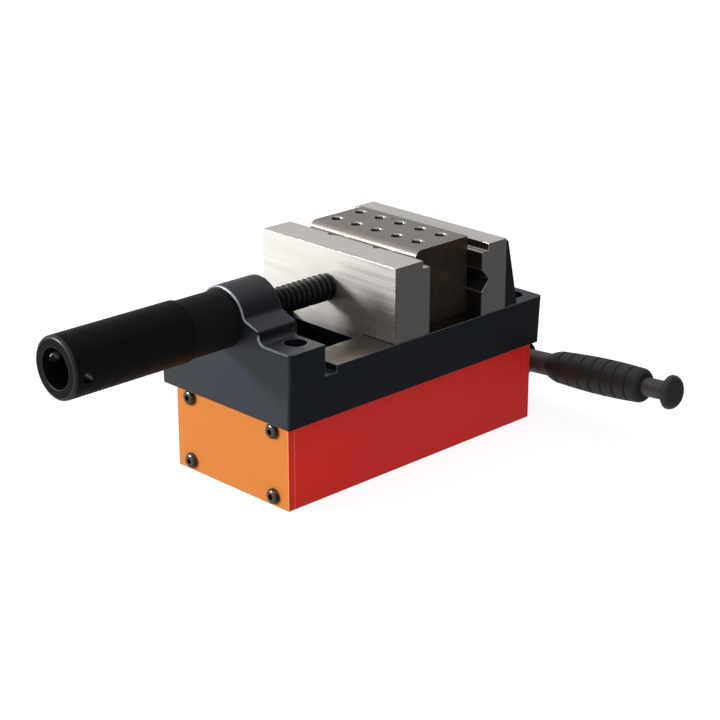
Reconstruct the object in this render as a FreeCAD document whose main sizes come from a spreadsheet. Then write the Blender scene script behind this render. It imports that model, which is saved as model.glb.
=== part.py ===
import FreeCAD, Part
import math
import os

import Sketcher

# A machine vice bolted on a switchable permanent magnet base.
# X runs along the vice, minus X is the end with the turning sleeve and plus X the end with the
# magnet lever. Z is up and z = 0 is the holding face of the magnet. The origin is the middle
# of that face. All lengths are millimetres and all angles degrees.

SIZES = {
    # magnet base
    "base_length": 200.0,
    "base_width": 94.0,
    "base_height": 51.0,
    "end_plate_thickness": 5.0,
    "pole_gap": 6.0,
    "magnet_slot_width": 16.0,
    "rotor_bore_diameter": 34.0,
    "rotor_air_gap": 0.4,
    "bush_length": 10.0,
    "rotor_end_gap": 0.5,
    "rotor_flange_thickness": 6.0,
    "rotor_magnet_thickness": 12.0,
    "rotor_magnet_height": 29.0,
    "magnet_gap": 0.2,
    "shaft_diameter": 14.0,
    "running_gap": 0.05,
    "fit_gap": 0.02,
    # lever
    "hub_diameter": 34.0,
    "hub_length": 35.0,
    "hub_gap": 0.4,
    "cam_diameter": 46.0,
    "cam_thickness": 4.0,
    "stop_radius": 20.0,
    "stop_pin_diameter": 5.0,
    "stop_gap": 0.3,
    "lever_offset": 19.0,
    "lever_tilt": 4.6,
    "lever_rod_diameter": 14.0,
    "lever_socket_radius": 8.5,
    "lever_boss_diameter": 22.0,
    "lever_boss_radius": 27.0,
    "grip_start": 50.0,
    "grip_length": 72.0,
    "grip_inner_diameter": 11.5,
    "grip_neck_diameter": 15.5,
    "grip_diameter": 22.6,
    "grip_shoulder_length": 4.0,
    "lever_stub_length": 17.0,
    "lever_head_diameter": 20.5,
    "lever_head_rim": 1.8,
    "lever_head_height": 5.0,
    "lever_head_flat_diameter": 11.0,
    # cast body of the vice
    "vice_length": 205.0,
    "vice_foot_width": 107.0,
    "jaw_width": 110.0,
    "rail_height": 29.8,
    "rail_thickness": 10.0,
    "slot_width": 60.0,
    "cavity_width": 76.0,
    "lug_height": 43.8,
    "lug_length": 26.0,
    "boss_length": 28.0,
    "boss_radius": 18.5,
    "screw_axis_height": 51.5,
    "shoulder_width": 60.0,
    "shoulder_height": 50.5,
    "shoulder_rise": 4.5,
    "shoulder_top_width": 36.0,
    "head_groove_depth": 4.2,
    "head_groove_width": 8.5,
    "slot_front_gap": 2.0,
    "slot_rear_land": 2.0,
    "jaw_back_height": 71.0,
    "jaw_back_top": 2.6,
    "jaw_back_foot": 12.0,
    "jaw_back_width": 108.0,
    "casting_corner_radius": 2.0,
    "shoulder_ridge_radius": 2.0,
    "boss_blend_radius": 4.0,
    "shoulder_foot_radius": 4.0,
    "jaw_back_radius": 2.0,
    # wells of the screws that hold the vice on the base
    "vice_screw_side": 41.5,
    "vice_screw_x": 88.5,
    "vice_screw_seat": 12.0,
    "vice_screw_pocket_diameter": 12.6,
    "hole_gap": 0.3,
    # jaws
    "moving_jaw_thickness": 27.3,
    "moving_jaw_height": 44.5,
    "fixed_jaw_x": 45.5,
    "fixed_jaw_thickness": 21.0,
    "fixed_jaw_height": 42.8,
    "jaw_step_depth": 5.5,
    "jaw_step_height": 4.5,
    "level_vee_height": 21.2,
    "level_vee_depth": 6.7,
    "upright_vee_side": 18.5,
    "upright_vee_depth": 8.5,
    "tongue_depth": 4.6,
    "tongue_corner_radius": 3.0,
    "slide_gap": 0.15,
    "keeper_inset": 3.0,
    "keeper_flange": 7.0,
    "keeper_thickness": 8.0,
    # screw and turning sleeve
    "block_length": 43.2,
    "block_side_gap": 0.3,
    "spindle_diameter": 16.0,
    "spindle_front_reach": 4.0,
    "spindle_tenon_diameter": 12.0,
    "spindle_tenon_length": 14.0,
    "spindle_pin_diameter": 5.0,
    "spindle_pin_inset": 8.0,
    "sleeve_length": 111.5,
    "sleeve_diameter": 35.0,
    "sleeve_bore_diameter": 22.5,
    "sleeve_spigot_diameter": 27.0,
    "sleeve_spigot_length": 6.0,
    "collar_length": 31.0,
    "collar_diameter": 33.0,
    "collar_gap": 0.1,
    "journal_diameter": 23.0,
    "nut_length": 41.0,
    "cross_hole_diameter": 6.5,
    "cross_hole_inset": 8.0,
    "sleeve_rest_turn": 7.7,
    "thrust_ring_diameter": 29.0,
    "thrust_ring_thickness": 5.0,
    "thrust_ring_pocket_depth": 6.0,
    "thrust_ring_pocket_gap": 0.4,
    # drilled block held between the jaws
    "block_width": 87.0,
    "block_height": 46.2,
    "block_edge_radius": 4.5,
    "block_hole_diameter": 6.8,
    "block_hole_pitch_x": 19.5,
    "block_hole_pitch_y": 16.5,
    "block_hole_front": 14.5,
    "block_hole_side": 13.0,
    "block_hole_columns": 5.0,
}

doc = FreeCAD.newDocument("vice_on_magnet_base")
sheet = doc.addObject("Spreadsheet::Sheet", "sizes")


class Size:
    """A length that knows the sheet formula it comes from."""

    def __init__(self, text, value):
        self.text = text
        self.value = value

    def joined(self, sign, other, value):
        text = other.text if isinstance(other, Size) else repr(float(other))
        return Size("(" + self.text + " " + sign + " " + text + ")", value)

    def __add__(self, other):
        return self.joined("+", other, self.value + number(other))

    def __sub__(self, other):
        return self.joined("-", other, self.value - number(other))

    def __mul__(self, other):
        return self.joined("*", other, self.value * number(other))

    def __truediv__(self, other):
        return self.joined("/", other, self.value / number(other))

    def __neg__(self):
        return Size("(-1 * " + self.text + ")", -self.value)


def number(size):
    return size.value if isinstance(size, Size) else float(size)


def formula(size):
    return size.text if isinstance(size, Size) else repr(float(size))


class Names:
    """Every driving size, under its own name."""


z = Names()
for row, (name, value) in enumerate(SIZES.items(), start=1):
    sheet.set("A%d" % row, name)
    sheet.set("B%d" % row, repr(value))
    sheet.setAlias("B%d" % row, name)
    setattr(z, name, Size("sizes." + name, value))
doc.recompute()

# Places that follow from the sizes.
ZERO = Size("0", 0.0)
base_front = -z.base_length / 2
base_rear = z.base_length / 2
pole_front = base_front + z.end_plate_thickness
pole_rear = base_rear - z.end_plate_thickness
pole_length = z.base_length - z.end_plate_thickness * 2
rotor_z = z.base_height / 2
rotor_radius = z.rotor_bore_diameter / 2 - z.rotor_air_gap
rotor_front = pole_front + z.bush_length + z.rotor_end_gap
rotor_rear = pole_rear - z.bush_length - z.rotor_end_gap
segment_front = rotor_front + z.rotor_flange_thickness
segment_rear = rotor_rear - z.rotor_flange_thickness
shaft_radius = z.shaft_diameter / 2
hub_radius = z.hub_diameter / 2

vice_rear = base_rear
vice_front = vice_rear - z.vice_length
rail_z = z.base_height + z.rail_height
lug_z = z.base_height + z.lug_height
axis_z = z.base_height + z.screw_axis_height
shoulder_z = z.base_height + z.shoulder_height
groove_z = rail_z - z.head_groove_depth
lug_rear = vice_front + z.lug_length
boss_rear = vice_front + z.boss_length
slot_front = boss_rear + z.slot_front_gap
slot_rear = z.fixed_jaw_x - z.slot_rear_land
cavity_z = rail_z - z.rail_thickness
screw_seat_z = z.base_height + z.vice_screw_seat

jaw_side = z.jaw_width / 2
fixed_rear = z.fixed_jaw_x + z.fixed_jaw_thickness
block_front = z.fixed_jaw_x - z.block_length
jaw_rear = block_front - z.block_side_gap
jaw_front = jaw_rear - z.moving_jaw_thickness
jaw_foot = rail_z + z.slide_gap
jaw_top = rail_z + z.moving_jaw_height
tongue_z = rail_z - z.tongue_depth
keeper_top = cavity_z - z.slide_gap
keeper_foot = keeper_top - z.keeper_thickness

collar_rear = vice_front - z.collar_gap
sleeve_front = collar_rear - z.sleeve_length
journal_rear = boss_rear
nut_front = journal_rear - z.nut_length
spindle_front = nut_front - z.spindle_front_reach


def plane(body, role):
    return [item for item in body.Origin.OriginFeatures if item.Role == role][0]


def new_body(name):
    body = doc.addObject("PartDesign::Body", name)
    body.Label = name
    return body


def sketch(body, name, role, offset=ZERO):
    """A sketch on one of the body's own planes, moved along that plane's normal."""
    item = body.newObject("Sketcher::SketchObject", name)
    item.AttachmentSupport = [(plane(body, role), "")]
    item.MapMode = "FlatFace"
    item.AttachmentOffset = FreeCAD.Placement(FreeCAD.Vector(0, 0, number(offset)), FreeCAD.Rotation())
    item.setExpression("AttachmentOffset.Base.z", formula(offset))
    return item


def bind(item, constraint, size):
    index = item.addConstraint(constraint)
    item.setExpression("Constraints[%d]" % index, formula(size))


def polygon(item, points):
    """A closed outline whose corners are each tied to the sheet."""
    first = item.GeometryCount
    count = len(points)
    for index, (across, up) in enumerate(points):
        next_across, next_up = points[(index + 1) % count]
        start = FreeCAD.Vector(number(across), number(up), 0)
        end = FreeCAD.Vector(number(next_across), number(next_up), 0)
        item.addGeometry(Part.LineSegment(start, end), False)
    for index in range(count):
        here = first + index
        after = first + (index + 1) % count
        item.addConstraint(Sketcher.Constraint("Coincident", here, 2, after, 1))
    for index, (across, up) in enumerate(points):
        here = first + index
        bind(item, Sketcher.Constraint("DistanceX", -1, 1, here, 1, number(across)), across)
        bind(item, Sketcher.Constraint("DistanceY", -1, 1, here, 1, number(up)), up)


def rectangle(item, left, right, low, high):
    polygon(item, [(left, low), (right, low), (right, high), (left, high)])


def circle(item, across, up, radius):
    centre = FreeCAD.Vector(number(across), number(up), 0)
    index = item.addGeometry(Part.Circle(centre, FreeCAD.Vector(0, 0, 1), number(radius)), False)
    bind(item, Sketcher.Constraint("Radius", index, number(radius)), radius)
    bind(item, Sketcher.Constraint("DistanceX", -1, 1, index, 3, number(across)), across)
    bind(item, Sketcher.Constraint("DistanceY", -1, 1, index, 3, number(up)), up)


def add_feature(body, kind, profile, name):
    before = body.Tip.Shape.Volume if body.Tip else 0.0
    item = body.newObject("PartDesign::" + kind, name)
    item.Profile = profile
    return item, before


def pad(body, profile, length, reverse=False):
    item, before = add_feature(body, "Pad", profile, profile.Name + "_pad")
    item.Reversed = reverse
    item.Length = abs(number(length))
    item.setExpression("Length", formula(length))
    doc.recompute()
    if item.Shape.Volume <= before:
        raise ValueError(item.Name + " adds nothing")
    return item


def pocket(body, profile, length=None, reverse=False):
    item, before = add_feature(body, "Pocket", profile, profile.Name + "_pocket")
    item.Reversed = reverse
    if length is None:
        item.Type = "ThroughAll"
    else:
        item.Length = abs(number(length))
        item.setExpression("Length", formula(length))
    doc.recompute()
    if item.Shape.Volume >= before:
        raise ValueError(item.Name + " cuts nothing")
    return item


def revolve(body, profile, axis="H_Axis"):
    item, before = add_feature(body, "Revolution", profile, profile.Name + "_turned")
    item.ReferenceAxis = (profile, [axis])
    item.Angle = 360
    doc.recompute()
    return item


def groove(body, profile, axis="H_Axis", angle=None):
    item, before = add_feature(body, "Groove", profile, profile.Name + "_groove")
    item.ReferenceAxis = (profile, [axis])
    item.Angle = 360
    if angle:
        item.Midplane = True
        item.setExpression("Angle", angle)
    doc.recompute()
    if item.Shape.Volume >= before:
        raise ValueError(item.Name + " cuts nothing")
    return item


def edges_where(feature, test):
    """Names of the feature's edges whose box passes a test."""
    found = []
    for index, edge in enumerate(feature.Shape.Edges, start=1):
        if test(edge.BoundBox):
            found.append("Edge%d" % index)
    return found


def near(value, size):
    return abs(value - number(size)) < 0.01


def fillet(body, test, radius, name):
    base = body.Tip
    names = edges_where(base, test)
    if not names:
        raise ValueError(name + " found no edge")
    item = body.newObject("PartDesign::Fillet", name)
    item.Base = (base, names)
    item.Radius = number(radius)
    item.setExpression("Radius", formula(radius))
    doc.recompute()
    if item.Shape.isNull() or not item.Shape.isValid():
        raise ValueError(name + " has no valid shape")
    return item


def group(name, master, places):
    """Separate copies of one small piece, kept together as one sub-part."""
    shapes = []
    for place in places:
        copy = master.Shape.copy()
        copy.Placement = place.multiply(master.Shape.Placement)
        shapes.append(copy)
    item = doc.addObject("Part::Feature", name)
    item.Label = name
    item.Shape = Part.makeCompound(shapes)
    return item


def place(x, y, up, rotation=None):
    turn = rotation or FreeCAD.Rotation()
    return FreeCAD.Placement(FreeCAD.Vector(number(x), number(y), number(up)), turn)


def move_body(body, x=ZERO, y=ZERO, up=ZERO, turn=ZERO):
    """Places a body, with its turn about X."""
    angle = FreeCAD.Rotation(FreeCAD.Vector(1, 0, 0), number(turn))
    body.Placement = FreeCAD.Placement(FreeCAD.Vector(number(x), number(y), number(up)), angle)
    body.setExpression("Placement.Base.x", formula(x))
    body.setExpression("Placement.Base.y", formula(y))
    body.setExpression("Placement.Base.z", formula(up))


# Lays an upright cylinder along X.
AHEAD = FreeCAD.Rotation(FreeCAD.Vector(0, 1, 0), 90)


def magnet_base():
    """Two steel pole blocks with a bore for the rotor, and what closes and splits them."""
    for name, side in (("left_pole_block", 1), ("right_pole_block", -1)):
        body = new_body(name)
        outline = sketch(body, name + "_outline", "YZ_Plane", pole_front)
        inner = z.pole_gap / 2 * side
        slot = z.magnet_slot_width / 2 * side
        outer = z.base_width / 2 * side
        polygon(outline, [(inner, ZERO), (outer, ZERO), (outer, z.base_height),
                          (slot, z.base_height), (slot, rotor_z), (inner, rotor_z)])
        pad(body, outline, pole_length)
        bore = sketch(body, name + "_bore", "YZ_Plane", pole_front)
        circle(bore, ZERO, rotor_z, z.rotor_bore_diameter / 2)
        pocket(body, bore, None, True)

    bottom = z.base_height / 2 - z.rotor_bore_diameter / 2
    spacer = new_body("pole_spacer")
    outline = sketch(spacer, "pole_spacer_outline", "YZ_Plane", pole_front)
    side = z.pole_gap / 2
    rectangle(outline, -side, side, ZERO, rotor_z)
    pad(spacer, outline, pole_length)
    bore = sketch(spacer, "pole_spacer_bore", "YZ_Plane", pole_front)
    circle(bore, ZERO, rotor_z, z.rotor_bore_diameter / 2)
    pocket(spacer, bore, None, True)

    magnet = new_body("fixed_magnet_shape")
    outline = sketch(magnet, "fixed_magnet_outline", "YZ_Plane")
    side = z.magnet_slot_width / 2
    rectangle(outline, -side, side, rotor_z, z.base_height)
    pad(magnet, outline, pole_length / 4 - z.magnet_gap)
    bore = sketch(magnet, "fixed_magnet_bore", "YZ_Plane")
    circle(bore, ZERO, rotor_z, z.rotor_bore_diameter / 2)
    pocket(magnet, bore, None, True)
    step = number(pole_length) / 4
    starts = [number(pole_front) + number(z.magnet_gap) / 2 + step * index for index in range(4)]
    magnets = group("fixed_magnets", magnet, [place(start, 0, 0) for start in starts])

    plates = []
    for name, where in (("front_end_plate", base_front), ("rear_end_plate", pole_rear)):
        body = new_body(name)
        outline = sketch(body, name + "_outline", "YZ_Plane", where)
        half = z.base_width / 2
        rectangle(outline, -half, half, ZERO, z.base_height)
        pad(body, outline, z.end_plate_thickness)
        if name == "rear_end_plate":
            holes = sketch(body, name + "_holes", "YZ_Plane", where)
            circle(holes, ZERO, rotor_z, shaft_radius + z.hole_gap)
            circle(holes, ZERO, rotor_z - z.stop_radius, z.stop_pin_diameter / 2 + z.fit_gap)
            pocket(body, holes, None, True)
        plates.append(body)

    pin = doc.addObject("Part::Cylinder", "lever_stop_pin")
    pin.Label = "lever_stop_pin"
    pin.setExpression("Radius", formula(z.stop_pin_diameter / 2))
    pin.setExpression("Height", formula(z.end_plate_thickness + z.hub_gap + z.cam_thickness * 0.8))
    pin.Placement = place(pole_rear, 0, rotor_z - z.stop_radius, AHEAD)
    pin.setExpression("Placement.Base.x", formula(pole_rear))
    pin.setExpression("Placement.Base.z", formula(rotor_z - z.stop_radius))
    return [doc.left_pole_block, doc.right_pole_block, spacer, magnets] + plates + [pin]


def bushes():
    """Plain bushes in the ends of the bore, which carry the rotor."""
    bush = new_body("bush_shape")
    outline = sketch(bush, "bush_outline", "YZ_Plane")
    circle(outline, ZERO, ZERO, z.rotor_bore_diameter / 2 - z.fit_gap)
    circle(outline, ZERO, ZERO, shaft_radius + z.running_gap)
    pad(bush, outline, z.bush_length)
    places = [place(pole_front, 0, rotor_z), place(pole_rear - z.bush_length, 0, rotor_z)]
    return [group("rotor_bushes", bush, places)]


def rotor():
    """The turning magnet core: two soft iron segments, a row of magnets and two shaft ends.

    It is drawn on its own axis, then lifted to its height and turned with the lever.
    """
    core = doc.addObject("Part::Cylinder", "rotor_core_round")
    core.setExpression("Radius", formula(rotor_radius))
    core.setExpression("Height", formula(segment_rear - segment_front))
    core.Placement = place(segment_front, 0, 0, AHEAD)
    core.setExpression("Placement.Base.x", formula(segment_front))
    slab = doc.addObject("Part::Box", "rotor_core_slab")
    slab.setExpression("Length", formula(segment_rear - segment_front))
    slab.setExpression("Width", formula(z.rotor_magnet_thickness))
    slab.setExpression("Height", formula(rotor_radius * 2))
    slab.setExpression("Placement.Base.x", formula(segment_front))
    slab.setExpression("Placement.Base.y", formula(-z.rotor_magnet_thickness / 2))
    slab.setExpression("Placement.Base.z", formula(-rotor_radius))
    segments = doc.addObject("Part::Cut", "rotor_segments")
    segments.Label = "rotor_segments"
    segments.Base = core
    segments.Tool = slab
    move_body(segments, up=rotor_z, turn=-z.lever_tilt)

    magnet = doc.addObject("Part::Box", "rotor_magnet_shape")
    length = (segment_rear - segment_front) / 4 - z.magnet_gap
    width = z.rotor_magnet_thickness - z.fit_gap * 2
    magnet.setExpression("Length", formula(length))
    magnet.setExpression("Width", formula(width))
    magnet.setExpression("Height", formula(z.rotor_magnet_height))
    doc.recompute()
    step = (number(segment_rear) - number(segment_front)) / 4
    places = []
    for index in range(4):
        start = number(segment_front) + number(z.magnet_gap) / 2 + step * index
        spot = place(start, -width / 2, -z.rotor_magnet_height / 2)
        places.append(segments.Placement.multiply(spot))
    magnets = group("rotor_magnets", magnet, places)

    ends = []
    shaft_end = base_rear + z.hub_gap + z.hub_length - 1.0
    for name, near_x, far_x, tip in (
            ("front_rotor_flange", segment_front, rotor_front, pole_front + z.rotor_end_gap),
            ("rear_rotor_shaft", segment_rear, rotor_rear, shaft_end)):
        body = new_body(name)
        outline = sketch(body, name + "_outline", "XZ_Plane")
        polygon(outline, [(near_x, ZERO), (near_x, rotor_radius), (far_x, rotor_radius),
                          (far_x, shaft_radius), (tip, shaft_radius), (tip, ZERO)])
        revolve(body, outline)
        move_body(body, up=rotor_z, turn=-z.lever_tilt)
        ends.append(body)

    return [segments, magnets] + ends


def lever():
    """The hub on the rotor's shaft, with its stop cam, and the lever that screws into it.

    These are drawn with the lever along minus Y, and then tilted up about X.
    """
    made = []

    def tilt(body):
        move_body(body, base_rear, ZERO, rotor_z, -z.lever_tilt)
        made.append(body)

    hub = new_body("lever_hub")
    outline = sketch(hub, "lever_hub_outline", "XZ_Plane")
    start = z.hub_gap
    cam_end = z.hub_gap + z.cam_thickness
    end = z.hub_gap + z.hub_length
    polygon(outline, [(start, ZERO), (start, z.cam_diameter / 2), (cam_end, z.cam_diameter / 2),
                      (cam_end, hub_radius), (end, hub_radius), (end, ZERO)])
    revolve(hub, outline)
    boss = sketch(hub, "lever_hub_boss", "XZ_Plane")
    circle(boss, z.lever_offset, ZERO, z.lever_boss_diameter / 2)
    pad(hub, boss, z.lever_boss_radius)
    bore = sketch(hub, "lever_hub_bore", "YZ_Plane", start)
    circle(bore, ZERO, ZERO, shaft_radius + z.fit_gap)
    pocket(hub, bore, z.hub_length - 1.0, True)
    socket = sketch(hub, "lever_hub_socket", "XZ_Plane", z.lever_boss_radius)
    circle(socket, z.lever_offset, ZERO, z.lever_rod_diameter / 2 + z.fit_gap)
    pocket(hub, socket, z.lever_boss_radius - z.lever_socket_radius)
    notch = sketch(hub, "lever_hub_notch", "XY_Plane")
    rectangle(notch, start - 1.0, cam_end, z.stop_radius - z.stop_pin_diameter / 2 - z.stop_gap,
              z.cam_diameter / 2 + 1.0)
    slack = "2 * asin((sizes.stop_pin_diameter / 2 + sizes.stop_gap) / sizes.stop_radius)"
    groove(hub, notch, "H_Axis", "180 deg - 2 deg * sizes.lever_tilt + " + slack)
    tilt(hub)

    grip_end = z.grip_start + z.grip_length
    rod_end = grip_end + z.lever_stub_length
    rod = new_body("lever_rod")
    outline = sketch(rod, "lever_rod_outline", "XY_Plane")
    wide = z.lever_offset + z.lever_rod_diameter / 2
    thin = z.lever_offset + z.grip_inner_diameter / 2
    tenon = z.lever_offset + z.grip_inner_diameter / 4
    polygon(outline, [(z.lever_offset, -z.lever_socket_radius), (wide, -z.lever_socket_radius),
                      (wide, -z.grip_start), (thin, -z.grip_start), (thin, -rod_end),
                      (tenon, -rod_end), (tenon, -rod_end - z.lever_head_height * 0.6),
                      (z.lever_offset, -rod_end - z.lever_head_height * 0.6)])
    turned = revolve_about_edge(rod, outline, 7)
    tilt(rod)

    head = new_body("lever_head")
    outline = sketch(head, "lever_head_outline", "XY_Plane")
    rim = z.lever_offset + z.lever_head_diameter / 2
    flat = z.lever_offset + z.lever_head_flat_diameter / 2
    polygon(outline, [(z.lever_offset, -rod_end), (rim, -rod_end), (rim, -rod_end - z.lever_head_rim),
                      (flat, -rod_end - z.lever_head_height),
                      (z.lever_offset, -rod_end - z.lever_head_height)])
    revolve_about_edge(head, outline, 4)
    hole = sketch(head, "lever_head_hole", "XZ_Plane", rod_end)
    circle(hole, z.lever_offset, ZERO, z.grip_inner_diameter / 4 + z.fit_gap)
    pocket(head, hole, z.lever_head_height * 0.6 + z.fit_gap, True)
    tilt(head)

    grip = new_body("lever_grip")
    outline = sketch(grip, "lever_grip_outline", "XY_Plane")
    inner = z.lever_offset + z.grip_inner_diameter / 2 + z.fit_gap
    neck = z.lever_offset + z.grip_neck_diameter / 2
    barrel = z.lever_offset + z.grip_diameter / 2
    barrel_start = z.grip_start + z.grip_shoulder_length
    polygon(outline, [(inner, -z.grip_start), (neck, -z.grip_start), (barrel, -barrel_start),
                      (barrel, -grip_end), (inner, -grip_end)])
    axis = outline.addGeometry(Part.LineSegment(FreeCAD.Vector(number(z.lever_offset), 0, 0),
                                                FreeCAD.Vector(number(z.lever_offset), -9, 0)), True)
    bind(outline, Sketcher.Constraint("DistanceX", -1, 1, axis, 1, number(z.lever_offset)), z.lever_offset)
    bind(outline, Sketcher.Constraint("DistanceX", -1, 1, axis, 2, number(z.lever_offset)), z.lever_offset)
    turned, before = add_feature(grip, "Revolution", outline, "lever_grip_turned")
    turned.ReferenceAxis = (outline, ["Axis0"])
    turned.Angle = 360
    doc.recompute()
    tilt(grip)
    return made


def revolve_about_edge(body, outline, edge):
    """Turns an outline about one of its own edges."""
    item, before = add_feature(body, "Revolution", outline, outline.Name + "_turned")
    item.ReferenceAxis = (outline, ["Edge%d" % (edge + 1)])
    item.Angle = 360
    doc.recompute()
    return item


def vice_body():
    """The casting: foot, rails over a guide slot, front head with its boss, and jaw back."""
    body = new_body("vice_body")
    foot = sketch(body, "vice_foot", "YZ_Plane", vice_front)
    low = z.vice_foot_width / 2
    polygon(foot, [(-low, z.base_height), (low, z.base_height), (jaw_side, rail_z), (-jaw_side, rail_z)])
    pad(body, foot, z.vice_length)

    relief = sketch(body, "head_relief", "XZ_Plane", -jaw_side - 1.0)
    rectangle(relief, lug_rear, lug_rear + z.head_groove_width, groove_z, rail_z + 1.0)
    pocket(body, relief, None, True)

    lugs = sketch(body, "front_lugs", "YZ_Plane", vice_front)
    rectangle(lugs, -jaw_side, jaw_side, rail_z, lug_z)
    pad(body, lugs, z.lug_length)

    shoulders = sketch(body, "head_shoulders", "YZ_Plane", vice_front)
    wide = z.shoulder_width / 2
    narrow = z.shoulder_top_width / 2
    polygon(shoulders, [(-wide, groove_z), (wide, groove_z), (wide, shoulder_z),
                        (narrow, shoulder_z + z.shoulder_rise),
                        (-narrow, shoulder_z + z.shoulder_rise), (-wide, shoulder_z)])
    pad(body, shoulders, z.boss_length)

    boss = sketch(body, "screw_boss", "YZ_Plane", vice_front)
    circle(boss, ZERO, axis_z, z.boss_radius)
    pad(body, boss, z.boss_length)

    back = sketch(body, "jaw_back", "XZ_Plane", -z.jaw_back_width / 2)
    polygon(back, [(fixed_rear, groove_z), (fixed_rear + z.jaw_back_foot, groove_z),
                   (fixed_rear + z.jaw_back_foot, rail_z),
                   (fixed_rear + z.jaw_back_top, z.base_height + z.jaw_back_height),
                   (fixed_rear, z.base_height + z.jaw_back_height)])
    pad(body, back, z.jaw_back_width)

    fillet(body, lambda box: box.XLength < 0.1 * number(z.lug_length) and box.ZLength > 1
           and abs(box.YMin * box.YMax) > number(z.vice_foot_width / 2) ** 2 - 1
           and (near(box.XMin, vice_front) or near(box.XMax, vice_rear)),
           z.casting_corner_radius, "casting_corners")
    fillet(body, lambda box: near(abs(box.YMin), wide) and near(abs(box.YMax), wide)
           and near(box.ZMin, lug_z) and near(box.ZMax, lug_z),
           z.shoulder_foot_radius, "shoulder_feet")
    fillet(body, lambda box: box.XLength > number(z.boss_length) - 0.1 and box.YLength < 0.01
           and near(box.ZMin, shoulder_z) and near(box.ZMax, shoulder_z),
           z.shoulder_ridge_radius, "shoulder_ridges")
    fillet(body, lambda box: box.XLength > number(z.boss_length) - 0.1 and box.YLength < 0.01
           and box.ZLength < 0.01 and box.ZMin > number(shoulder_z) + 2,
           z.boss_blend_radius, "boss_blends")
    fillet(body, lambda box: near(box.ZMin, z.base_height + z.jaw_back_height)
           and near(box.XMin, fixed_rear + z.jaw_back_top) and near(box.XMax, fixed_rear + z.jaw_back_top),
           z.jaw_back_radius, "jaw_back_edge")

    slot = sketch(body, "guide_slot", "XY_Plane", rail_z + 1.0)
    half = z.slot_width / 2
    rectangle(slot, slot_front, slot_rear, -half, half)
    pocket(body, slot)

    cavity = sketch(body, "keeper_cavity", "XY_Plane", z.base_height)
    half = z.cavity_width / 2
    rectangle(cavity, slot_front, slot_rear, -half, half)
    pocket(body, cavity, cavity_z - z.base_height, True)

    bore = sketch(body, "sleeve_bore", "YZ_Plane", vice_front)
    circle(bore, ZERO, axis_z, z.journal_diameter / 2 + z.running_gap)
    pocket(body, bore, z.boss_length + 1.0, True)
    seat = sketch(body, "thrust_ring_seat", "YZ_Plane", boss_rear)
    circle(seat, ZERO, axis_z, z.thrust_ring_diameter / 2 + z.thrust_ring_pocket_gap)
    pocket(body, seat, z.thrust_ring_pocket_depth)

    wells = sketch(body, "screw_wells", "XY_Plane", screw_seat_z)
    for x in (z.vice_screw_x, -z.vice_screw_x):
        for side in (1, -1):
            circle(wells, x, z.vice_screw_side * side, z.vice_screw_pocket_diameter / 2)
    pocket(body, wells, lug_z - screw_seat_z + 1.0, True)
    return body


def jaws():
    """The ground jaws, and the keeper that holds the moving one down on the rails."""
    moving = new_body("moving_jaw")
    outline = sketch(moving, "moving_jaw_outline", "XZ_Plane", -jaw_side)
    polygon(outline, [(jaw_front, jaw_foot), (jaw_rear, jaw_foot), (jaw_rear, jaw_top - z.jaw_step_height),
                      (jaw_rear - z.jaw_step_depth, jaw_top - z.jaw_step_height),
                      (jaw_rear - z.jaw_step_depth, jaw_top), (jaw_front, jaw_top)])
    pad(moving, outline, z.jaw_width)
    tongue = sketch(moving, "moving_jaw_tongue", "YZ_Plane", jaw_front)
    half = z.slot_width / 2 - z.slide_gap
    rectangle(tongue, -half, half, tongue_z, jaw_foot + 1.0)
    pad(moving, tongue, z.moving_jaw_thickness)
    fillet(moving, lambda box: near(box.ZMin, tongue_z) and near(box.ZMax, tongue_z)
           and near(box.YMin, box.YMax) and box.XLength > 1, z.tongue_corner_radius, "tongue_corners")
    vees = sketch(moving, "upright_vees", "XY_Plane", jaw_top + 1.0)
    mouth = z.upright_vee_depth + 1.0
    for side in (1, -1):
        middle = z.upright_vee_side * side
        polygon(vees, [(jaw_rear - z.upright_vee_depth, middle), (jaw_rear + 1.0, middle - mouth),
                       (jaw_rear + 1.0, middle + mouth)])
    pocket(moving, vees)
    bore = sketch(moving, "spindle_hole", "YZ_Plane", jaw_front)
    circle(bore, ZERO, axis_z, z.spindle_tenon_diameter / 2 + z.fit_gap)
    pocket(moving, bore, z.spindle_tenon_length + z.fit_gap, True)
    pin_hole = sketch(moving, "spindle_pin_hole", "XY_Plane", tongue_z)
    circle(pin_hole, jaw_front + z.spindle_pin_inset, ZERO, z.spindle_pin_diameter / 2 + z.fit_gap)
    pin_top = axis_z + z.spindle_tenon_diameter / 4
    pocket(moving, pin_hole, pin_top - tongue_z, True)

    keeper = new_body("keeper_plate")
    outline = sketch(keeper, "keeper_outline", "YZ_Plane", jaw_front + z.keeper_inset)
    flange = half + z.keeper_flange
    neck = half - z.slide_gap
    polygon(outline, [(-flange, keeper_foot), (flange, keeper_foot), (flange, keeper_top),
                      (neck, keeper_top), (neck, tongue_z), (-neck, tongue_z),
                      (-neck, keeper_top), (-flange, keeper_top)])
    pad(keeper, outline, z.moving_jaw_thickness - z.keeper_inset * 2)

    fixed = new_body("fixed_jaw_plate")
    outline = sketch(fixed, "fixed_jaw_outline", "XZ_Plane", -jaw_side)
    top = rail_z + z.fixed_jaw_height
    vee = rail_z + z.level_vee_height
    front = z.fixed_jaw_x
    polygon(outline, [(front, rail_z), (fixed_rear, rail_z), (fixed_rear, top),
                      (front + z.jaw_step_depth, top), (front + z.jaw_step_depth, top - z.jaw_step_height),
                      (front, top - z.jaw_step_height), (front, vee + z.level_vee_depth),
                      (front + z.level_vee_depth, vee), (front, vee - z.level_vee_depth)])
    pad(fixed, outline, z.jaw_width)
    return [moving, keeper, fixed]


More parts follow.
